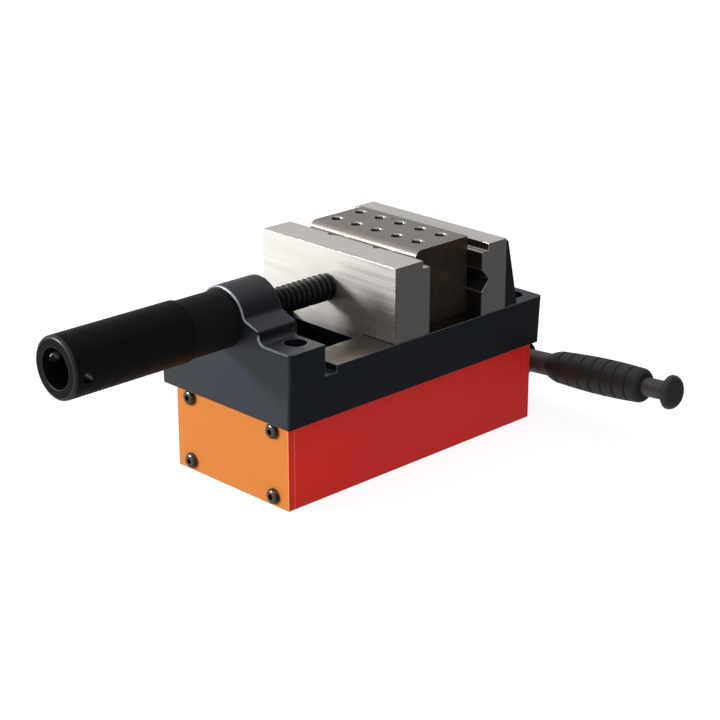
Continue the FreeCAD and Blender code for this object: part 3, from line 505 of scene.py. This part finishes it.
# Grooves pressed into a turned piece along its X axis, which leaves the ribs between them.
def groovesGroup():
    group, given, made = nodeGroup("pressedGrooves", (
        ("Start", "NodeSocketFloat"), ("Pitch", "NodeSocketFloat"), ("Last", "NodeSocketFloat"),
        ("Reach", "NodeSocketFloat"), ("Depth", "NodeSocketFloat"), ("Material", "NodeSocketMaterial")))
    where = addNode(group, "GeometryNodeInputPosition")
    parts = addNode(group, "ShaderNodeSeparateXYZ", {0: where.outputs[0]})
    moved = addNode(group, "ShaderNodeMath", {0: parts.outputs["X"], 1: given.outputs["Start"]},
                    operation="SUBTRACT")
    counted = addNode(group, "ShaderNodeMath", {0: moved.outputs[0], 1: given.outputs["Pitch"]},
                      operation="DIVIDE")
    nearest = addNode(group, "ShaderNodeMath", {0: counted.outputs[0]}, operation="ROUND")
    atLeast = addNode(group, "ShaderNodeMath", {0: nearest.outputs[0], 1: 0.0}, operation="MAXIMUM")
    atMost = addNode(group, "ShaderNodeMath", {0: atLeast.outputs[0], 1: given.outputs["Last"]},
                     operation="MINIMUM")
    off = addNode(group, "ShaderNodeMath", {0: counted.outputs[0], 1: atMost.outputs[0]},
                  operation="SUBTRACT")
    away = addNode(group, "ShaderNodeMath", {0: off.outputs[0]}, operation="ABSOLUTE")
    reach = addNode(group, "ShaderNodeMath", {0: given.outputs["Reach"], 1: given.outputs["Pitch"]},
                    operation="DIVIDE")
    press = addNode(group, "ShaderNodeMapRange", {"Value": away.outputs[0],
                                                  "From Max": reach.outputs[0],
                                                  "To Min": given.outputs["Depth"], "To Max": 0.0},
                    interpolation_type="SMOOTHSTEP")
    inward = addNode(group, "ShaderNodeMath", {0: press.outputs["Result"], 1: -1.0},
                     operation="MULTIPLY")
    across = addNode(group, "ShaderNodeCombineXYZ", {1: parts.outputs["Y"], 2: parts.outputs["Z"]})
    outward = addNode(group, "ShaderNodeVectorMath", {0: across.outputs[0]}, operation="NORMALIZE")
    push = addNode(group, "ShaderNodeVectorMath", {0: outward.outputs[0], "Scale": inward.outputs[0]},
                   operation="SCALE")
    pressed = addNode(group, "GeometryNodeSetPosition", {"Geometry": given.outputs["Geometry"],
                                                         "Offset": push.outputs[0]})
    flat = addNode(group, "GeometryNodeRealizeInstances", {"Geometry": pressed.outputs[0]})
    painted = addNode(group, "GeometryNodeSetMaterial", {"Geometry": flat.outputs[0],
                                                         "Material": given.outputs["Material"]})
    group.links.new(painted.outputs[0], made.inputs[0])
    return group


gripPiece = newPiece("ribbedGrip", lathe("grip", gripProfile(), 72), "switch", gripRubber)
gripMesh = runGroup(gripPiece, groovesGroup(), {
    "Start": lever["gripStart"] + grip["grooveStart"], "Pitch": grip["groovePitch"],
    "Last": grip["grooves"] - 1.0, "Reach": grip["grooveReach"], "Depth": grip["grooveDepth"],
    "Material": gripRubber})
smoothByAngle(gripMesh, 40)
gripMesh.transform(leverPlace)
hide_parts("lever_grip")

head = {"radius": 0.01025, "rim": 0.0018, "height": 0.005, "flat": 0.0052, "chamfer": 0.0005}


def headProfile():
    profile = [(0.0, 0.0), (0.0, head["radius"] - head["chamfer"]),
               (head["chamfer"], head["radius"]), (head["rim"] - 0.0004, head["radius"]),
               (head["rim"], head["radius"] - 0.0003)]
    rise = head["height"] - head["rim"]
    run = head["radius"] - 0.0003 - head["flat"]
    for index in range(1, 9):
        turn = index / 8 * math.pi / 2
        profile.append((head["rim"] + rise * math.sin(turn),
                        head["flat"] + run * math.cos(turn)))
    profile.append((head["height"], 0.0))
    return [(along + lever["rodEnd"], radius) for along, radius in profile]


headMesh = lathe("leverHead", headProfile(), 64)
headMesh.transform(leverPlace)
headPiece = newPiece("mushroomHead", headMesh, "switch", headSteel)
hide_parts("lever_head")
print("lever pieces", 2)


# The clamp screw's thread: a grid whose rows follow the helix, bent round the axis. crest and root are
# the parts of half a turn at which the flank starts and ends.
thread = {"start": -0.122, "end": -0.0256, "height": 0.1025, "pitch": 0.004, "radius": 0.008,
          "depth": 0.0018, "crest": 0.18, "root": 0.31, "steps": 8, "around": 64, "chamfer": 0.002}


def threadGroup():
    group, given, made = nodeGroup("trapezoidThread", (
        ("Pitch", "NodeSocketFloat"), ("Radius", "NodeSocketFloat"), ("Depth", "NodeSocketFloat"),
        ("Crest", "NodeSocketFloat"), ("Root", "NodeSocketFloat"), ("Turns", "NodeSocketInt"),
        ("Steps", "NodeSocketInt"), ("Around", "NodeSocketInt"), ("Material", "NodeSocketMaterial")))
    rows = addNode(group, "ShaderNodeMath", {0: given.outputs["Turns"], 1: given.outputs["Steps"]},
                   operation="MULTIPLY")
    rowCount = addNode(group, "ShaderNodeMath", {0: rows.outputs[0], 1: 1.0}, operation="ADD")
    ringCount = addNode(group, "ShaderNodeMath", {0: given.outputs["Around"], 1: 1.0}, operation="ADD")
    grid = addNode(group, "GeometryNodeMeshGrid", {"Size X": 1.0, "Size Y": 1.0,
                                                   "Vertices X": rowCount.outputs[0],
                                                   "Vertices Y": ringCount.outputs[0]})
    where = addNode(group, "GeometryNodeInputPosition")
    parts = addNode(group, "ShaderNodeSeparateXYZ", {0: where.outputs[0]})
    along = addNode(group, "ShaderNodeMath", {0: parts.outputs["X"], 1: 0.5}, operation="ADD")
    across = addNode(group, "ShaderNodeMath", {0: parts.outputs["Y"], 1: 0.5}, operation="ADD")
    turned = addNode(group, "ShaderNodeMath", {0: along.outputs[0], 1: given.outputs["Turns"]},
                     operation="MULTIPLY")
    phase = addNode(group, "ShaderNodeMath", {0: turned.outputs[0], 1: 0.5}, operation="PINGPONG")
    lift = addNode(group, "ShaderNodeMapRange", {"Value": phase.outputs[0],
                                                 "From Min": given.outputs["Crest"],
                                                 "From Max": given.outputs["Root"],
                                                 "To Min": 1.0, "To Max": 0.0})
    sunk = addNode(group, "ShaderNodeMath", {0: lift.outputs["Result"], 1: given.outputs["Depth"]},
                   operation="MULTIPLY")
    radius = addNode(group, "ShaderNodeMath", {0: given.outputs["Radius"], 1: sunk.outputs[0]},
                     operation="SUBTRACT")
    angle = addNode(group, "ShaderNodeMath", {0: across.outputs[0], 1: 2 * math.pi}, operation="MULTIPLY")
    advance = addNode(group, "ShaderNodeMath", {0: turned.outputs[0], 1: across.outputs[0]},
                      operation="SUBTRACT")
    distance = addNode(group, "ShaderNodeMath", {0: advance.outputs[0], 1: given.outputs["Pitch"]},
                       operation="MULTIPLY")
    cosine = addNode(group, "ShaderNodeMath", {0: angle.outputs[0]}, operation="COSINE")
    sine = addNode(group, "ShaderNodeMath", {0: angle.outputs[0]}, operation="SINE")
    side = addNode(group, "ShaderNodeMath", {0: cosine.outputs[0], 1: radius.outputs[0]},
                   operation="MULTIPLY")
    up = addNode(group, "ShaderNodeMath", {0: sine.outputs[0], 1: radius.outputs[0]}, operation="MULTIPLY")
    spot = addNode(group, "ShaderNodeCombineXYZ", {0: distance.outputs[0], 1: side.outputs[0],
                                                   2: up.outputs[0]})
    bent = addNode(group, "GeometryNodeSetPosition", {"Geometry": grid.outputs["Mesh"],
                                                      "Position": spot.outputs[0]})
    joined = addNode(group, "GeometryNodeMergeByDistance", {"Geometry": bent.outputs[0],
                                                            "Distance": 0.00001})
    flat = addNode(group, "GeometryNodeRealizeInstances", {"Geometry": joined.outputs[0]})
    painted = addNode(group, "GeometryNodeSetMaterial", {"Geometry": flat.outputs[0],
                                                         "Material": given.outputs["Material"]})
    group.links.new(painted.outputs[0], made.inputs[0])
    return group


threadLength = thread["end"] - thread["start"]
threadPiece = newPiece("clampScrewThread", bpy.data.meshes.new("thread"), "jaw", None)
threadMesh = runGroup(threadPiece, threadGroup(), {
    "Pitch": thread["pitch"], "Radius": thread["radius"], "Depth": thread["depth"],
    "Crest": thread["crest"], "Root": thread["root"], "Steps": thread["steps"],
    "Turns": int(threadLength / thread["pitch"]) + 2, "Around": thread["around"],
    "Material": threadOxide})
threadMesh.transform(Matrix.Translation((thread["start"], 0, thread["height"])))
work = bmesh.new()
work.from_mesh(threadMesh)
for end, outward in ((thread["start"], -1), (thread["end"], 1)):  # both ends are cut off flat
    bmesh.ops.bisect_plane(work, geom=work.verts[:] + work.edges[:] + work.faces[:],
                           plane_co=(end, 0, 0), plane_no=(outward, 0, 0), clear_outer=True)
bmesh.ops.holes_fill(work, edges=[line for line in work.edges if len(line.link_faces) == 1])
bmesh.ops.recalc_face_normals(work, faces=work.faces)
for vert in work.verts:
    near = vert.co.x - thread["start"]
    out = math.hypot(vert.co.y, vert.co.z - thread["height"])
    most = thread["radius"] - thread["chamfer"] + near
    if out > most:
        vert.co.y *= most / out
        vert.co.z = thread["height"] + (vert.co.z - thread["height"]) * most / out
work.to_mesh(threadMesh)
work.free()
smoothByAngle(threadMesh, 30)
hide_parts("clamp_screw")
print("thread faces", len(threadMesh.polygons))


# Screws and well rings: one detailed master per kind, put in each place by geometry nodes.

def screwMesh(name, headRadius, headHeight, shankRadius, length, socket, socketDepth, dome):
    work = bmesh.new()
    steps = 48
    if dome:
        outline = [(headRadius * 0.99, 0.0), (headRadius, headHeight * 0.12)]
        for index in range(1, 9):
            turn = index / 8 * math.pi / 2
            outline.append((headRadius * (0.52 + 0.48 * math.cos(turn)),
                            headHeight * (0.12 + 0.88 * math.sin(turn))))
    else:
        outline = [(headRadius * 0.96, 0.0), (headRadius, headHeight * 0.06),
                   (headRadius, headHeight * 0.88), (headRadius * 0.97, headHeight * 0.95),
                   (headRadius * 0.91, headHeight)]
    outline.insert(0, (shankRadius, -length))
    outline.insert(1, (shankRadius, 0.0))
    rings = []
    for radius, height in outline:
        ring = []
        for step in range(steps):
            turn = 2 * math.pi * step / steps
            ring.append(work.verts.new((radius * math.cos(turn), radius * math.sin(turn), height)))
        rings.append(ring)

    def hexagon(scale, height):
        ring = []
        for step in range(steps):
            turn = 2 * math.pi * step / steps
            local = (turn % (math.pi / 3)) - math.pi / 6
            radius = socket / 2 * scale / math.cos(local)
            ring.append(work.verts.new((radius * math.cos(turn), radius * math.sin(turn), height)))
        return ring

    rings.append(hexagon(1.1, headHeight))
    rings.append(hexagon(1.0, headHeight - socket * 0.06))
    rings.append(hexagon(1.0, headHeight - socketDepth))
    for first, second in zip(rings, rings[1:]):
        for step in range(steps):
            after = (step + 1) % steps
            work.faces.new((first[step], first[after], second[after], second[step]))
    bottom = work.verts.new((0, 0, headHeight - socketDepth - socket * 0.2))
    for step in range(steps):
        work.faces.new((rings[-1][step], rings[-1][(step + 1) % steps], bottom))
    end = work.verts.new((0, 0, -length))
    for step in range(steps):
        work.faces.new((rings[0][(step + 1) % steps], rings[0][step], end))
    bmesh.ops.recalc_face_normals(work, faces=work.faces)
    mesh = bpy.data.meshes.new(name)
    work.to_mesh(mesh)
    work.free()
    smoothByAngle(mesh, 33)
    return mesh


def placesGroup():
    group, given, made = nodeGroup("piecesOnPlaces", (
        ("Piece", "NodeSocketObject"), ("Turn", "NodeSocketRotation"), ("Spin", "NodeSocketFloat"),
        ("Seed", "NodeSocketInt"), ("Material", "NodeSocketMaterial")))
    source = addNode(group, "GeometryNodeObjectInfo", {"Object": given.outputs["Piece"]})
    index = addNode(group, "GeometryNodeInputIndex")
    random = addNode(group, "FunctionNodeRandomValue", {"ID": index.outputs[0],
                                                        "Seed": given.outputs["Seed"],
                                                        3: given.outputs["Spin"]}, data_type="FLOAT")
    spin = addNode(group, "FunctionNodeAxisAngleToRotation", {"Axis": (0, 0, 1),
                                                              "Angle": random.outputs[1]})
    both = addNode(group, "FunctionNodeRotateRotation", {"Rotation": given.outputs["Turn"],
                                                         "Rotate By": spin.outputs[0]},
                   rotation_space="LOCAL")
    placed = addNode(group, "GeometryNodeInstanceOnPoints", {"Points": given.outputs["Geometry"],
                                                             "Instance": source.outputs["Geometry"],
                                                             "Rotation": both.outputs[0]})
    flat = addNode(group, "GeometryNodeRealizeInstances", {"Geometry": placed.outputs[0]})
    painted = addNode(group, "GeometryNodeSetMaterial", {"Geometry": flat.outputs[0],
                                                         "Material": given.outputs["Material"]})
    group.links.new(painted.outputs[0], made.inputs[0])
    return group


piecesOnPlaces = placesGroup()
turns = {"up": (0, 0, 0), "ahead": (0, math.pi / 2, 0), "back": (0, -math.pi / 2, 0)}


def onPlaces(name, body, master, places, turn, seed, material):
    holder = bpy.data.objects.new(name + ".master", master)
    scene.collection.objects.link(holder)
    points = bpy.data.meshes.new(name + ".points")
    points.from_pydata([Vector(place) for place in places], [], [])
    piece = newPiece(name, points, body, None)
    runGroup(piece, piecesOnPlaces, {"Piece": holder, "Turn": turns[turn], "Spin": 6.0, "Seed": seed,
                                     "Material": material})
    bpy.data.objects.remove(holder)
    return piece


plateScrew = {"headRadius": 0.00475, "headHeight": 0.00275, "shankRadius": 0.0025, "length": 0.003,
              "socket": 0.003, "socketDepth": 0.0018, "dome": True}
viceScrewSeat = 0.063
viceScrew = {"headRadius": 0.005, "headHeight": 0.006, "shankRadius": 0.003, "length": 0.003,
             "socket": 0.005, "socketDepth": 0.003, "dome": False}
plateMaster = screwMesh("plateScrew", **plateScrew)
plate = {"front": -0.1, "rear": 0.1, "side": 0.035, "low": 0.006, "high": 0.045}
plateYz = [(y, up) for y in (plate["side"], -plate["side"]) for up in (plate["low"], plate["high"])]
onPlaces("frontPlateScrews", "base", plateMaster,
         [(plate["front"], y, up) for y, up in plateYz], "back", 3, screwSteel)
onPlaces("rearPlateScrews", "base", plateMaster,
         [(plate["rear"], y, up) for y, up in plateYz], "ahead", 5, screwSteel)
onPlaces("viceScrews", "base", screwMesh("viceScrew", **viceScrew),
         [(x, y, viceScrewSeat) for x in (casting["wellX"], -casting["wellX"])
          for y in (casting["wellY"], -casting["wellY"])], "up", 7, blackOxide)
print("screw sets", 3)

# Rims of the four screw wells, drawn as a thin lighter ring: a painted highlight on their chamfers.
wellHighlightRing = {"inner": 0.0063, "outer": 0.0071, "lift": 0.00006, "sunk": 0.0004}
ringMesh = lathe("wellHighlightRing", [
    (-wellHighlightRing["sunk"], wellHighlightRing["inner"]), (wellHighlightRing["lift"] * 0.3, wellHighlightRing["inner"] + 0.0002),
    (wellHighlightRing["lift"], wellHighlightRing["inner"] + 0.0005), (0.0, wellHighlightRing["outer"]),
    (-wellHighlightRing["sunk"], wellHighlightRing["outer"]), (-wellHighlightRing["sunk"], wellHighlightRing["inner"])], 48)
ringMesh.transform(Matrix.Rotation(math.radians(-90), 4, "Y"))
onPlaces("wellRings", "base", ringMesh,
         [(x, y, top) for x, top in ((-casting["wellX"], casting["lug"]),
                                     (casting["wellX"], casting["rails"]))
          for y in (-casting["wellY"], casting["wellY"])], "up", 9, castEdgeHighlight)
print("well rings", 4)

# The nodes that keep their own mesh get their finish here.
finishes = {"pole_spacer": brass, "rotor_bushes": brass, "thrust_ring": brass,
            "fixed_magnets": magnetGrey, "rotor_magnets": magnetGrey, "rotor_segments": groundSteel,
            "front_rotor_flange": plainSteel, "rear_rotor_shaft": plainSteel, "screw_lock_pin": plainSteel,
            "lever_stop_pin": plainSteel}
for name, material in finishes.items():
    nodes[name].data.materials.clear()
    nodes[name].data.materials.append(material)
print("kept nodes", len(finishes))


# Floor, light and camera

ground = {"size": 12, "drop": 0.0002, "colour": "a8a8a8", "glow": 0.8}


def makeFloor():
    bpy.ops.mesh.primitive_plane_add(size=ground["size"], location=(0, 0, -ground["drop"]))
    floor = bpy.context.object
    floor.name = "floor"
    material = bpy.data.materials.new("paleFloor")
    material.use_nodes = True
    shader = material.node_tree.nodes["Principled BSDF"]
    shader.inputs["Base Color"].default_value = colour(ground["colour"])
    shader.inputs["Roughness"].default_value = 0.9
    shader.inputs["Specular IOR Level"].default_value = 0.0
    shader.inputs["Emission Color"].default_value = colour("ffffff")
    shader.inputs["Emission Strength"].default_value = ground["glow"]
    floor.data.materials.append(material)
    floor.visible_glossy = False


# Soft even light all round, and white behind the object. What shiny pieces mirror runs from a bright
# wall at the far left (minus X, plus Y) to a dark one at the near right, with a soft light overhead.
studio = {"even": 0.74, "middle": 0.37, "swing": 0.37, "bright": (-0.4, 0.917, 0.0), "top": 0.35,
          "topStart": 0.5, "topEnd": 0.9}


def makeWorld():
    world = bpy.data.worlds.new("studio")
    scene.world = world
    world.use_nodes = True
    tree = world.node_tree
    tree.nodes.clear()
    path = addNode(tree, "ShaderNodeLightPath")
    where = addNode(tree, "ShaderNodeTexCoord")
    lean = addNode(tree, "ShaderNodeVectorMath", {0: where.outputs["Generated"], 1: studio["bright"]},
                   operation="DOT_PRODUCT")
    ramp = addNode(tree, "ShaderNodeMath", {0: lean.outputs["Value"], 1: studio["swing"],
                                            2: studio["middle"]}, operation="MULTIPLY_ADD")
    parts = addNode(tree, "ShaderNodeSeparateXYZ", {0: where.outputs["Generated"]})
    box = addNode(tree, "ShaderNodeMapRange", {"Value": parts.outputs["Z"], "From Min": studio["topStart"],
                                               "From Max": studio["topEnd"], "To Max": studio["top"]},
                  interpolation_type="SMOOTHSTEP")
    level = addNode(tree, "ShaderNodeMath", {0: ramp.outputs[0], 1: box.outputs["Result"]}, operation="ADD")
    mirrored = addNode(tree, "ShaderNodeBackground", {"Color": colour("ffffff"),
                                                      "Strength": level.outputs[0]})
    even = addNode(tree, "ShaderNodeBackground", {"Color": colour("ffffff"), "Strength": studio["even"]})
    seen = addNode(tree, "ShaderNodeBackground", {"Color": colour("ffffff"), "Strength": 1.0})
    unseen = addNode(tree, "ShaderNodeMixShader", {"Fac": path.outputs["Is Glossy Ray"],
                                                   1: even.outputs[0], 2: mirrored.outputs[0]})
    shown = addNode(tree, "ShaderNodeMixShader", {"Fac": path.outputs["Is Camera Ray"],
                                                  1: unseen.outputs[0], 2: seen.outputs[0]})
    output = addNode(tree, "ShaderNodeOutputWorld")
    tree.links.new(shown.outputs[0], output.inputs["Surface"])


# One small lamp from the far left, which draws the bright line along the casting's rim.
lights = {
    "backKey": {"place": (-1.25, 0.94, 0.48), "aim": (-0.02, 0, 0.1), "size": (0.3, 0.3), "power": 18},
}


def makeLights():
    for name, facts in lights.items():
        data = bpy.data.lights.new(name, "AREA")
        data.shape = "RECTANGLE"
        data.size, data.size_y = facts["size"]
        data.energy = facts["power"]
        data.specular_factor = 0.3
        lamp = bpy.data.objects.new(name, data)
        lamp.location = facts["place"]
        aim = Vector(facts["aim"]) - Vector(facts["place"])
        lamp.rotation_euler = aim.to_track_quat("-Z", "Y").to_euler()
        scene.collection.objects.link(lamp)


view = {"place": (-0.7612, -0.7756, 0.4554), "yaw": 45.5, "pitch": -20.42, "lens": 98.22}


def makeCamera():
    data = bpy.data.cameras.new("camera")
    data.lens = view["lens"]
    data.sensor_width = 36
    data.clip_end = 30
    camera = bpy.data.objects.new("camera", data)
    camera.location = view["place"]
    yaw = math.radians(view["yaw"])
    pitch = math.radians(view["pitch"])
    aim = Vector((math.cos(pitch) * math.cos(yaw), math.cos(pitch) * math.sin(yaw), math.sin(pitch)))
    camera.rotation_euler = aim.to_track_quat("-Z", "Y").to_euler()
    scene.collection.objects.link(camera)
    scene.camera = camera


makeFloor()
makeWorld()
makeLights()
makeCamera()
scene.view_settings.view_transform = "Standard"
print("stage ready")
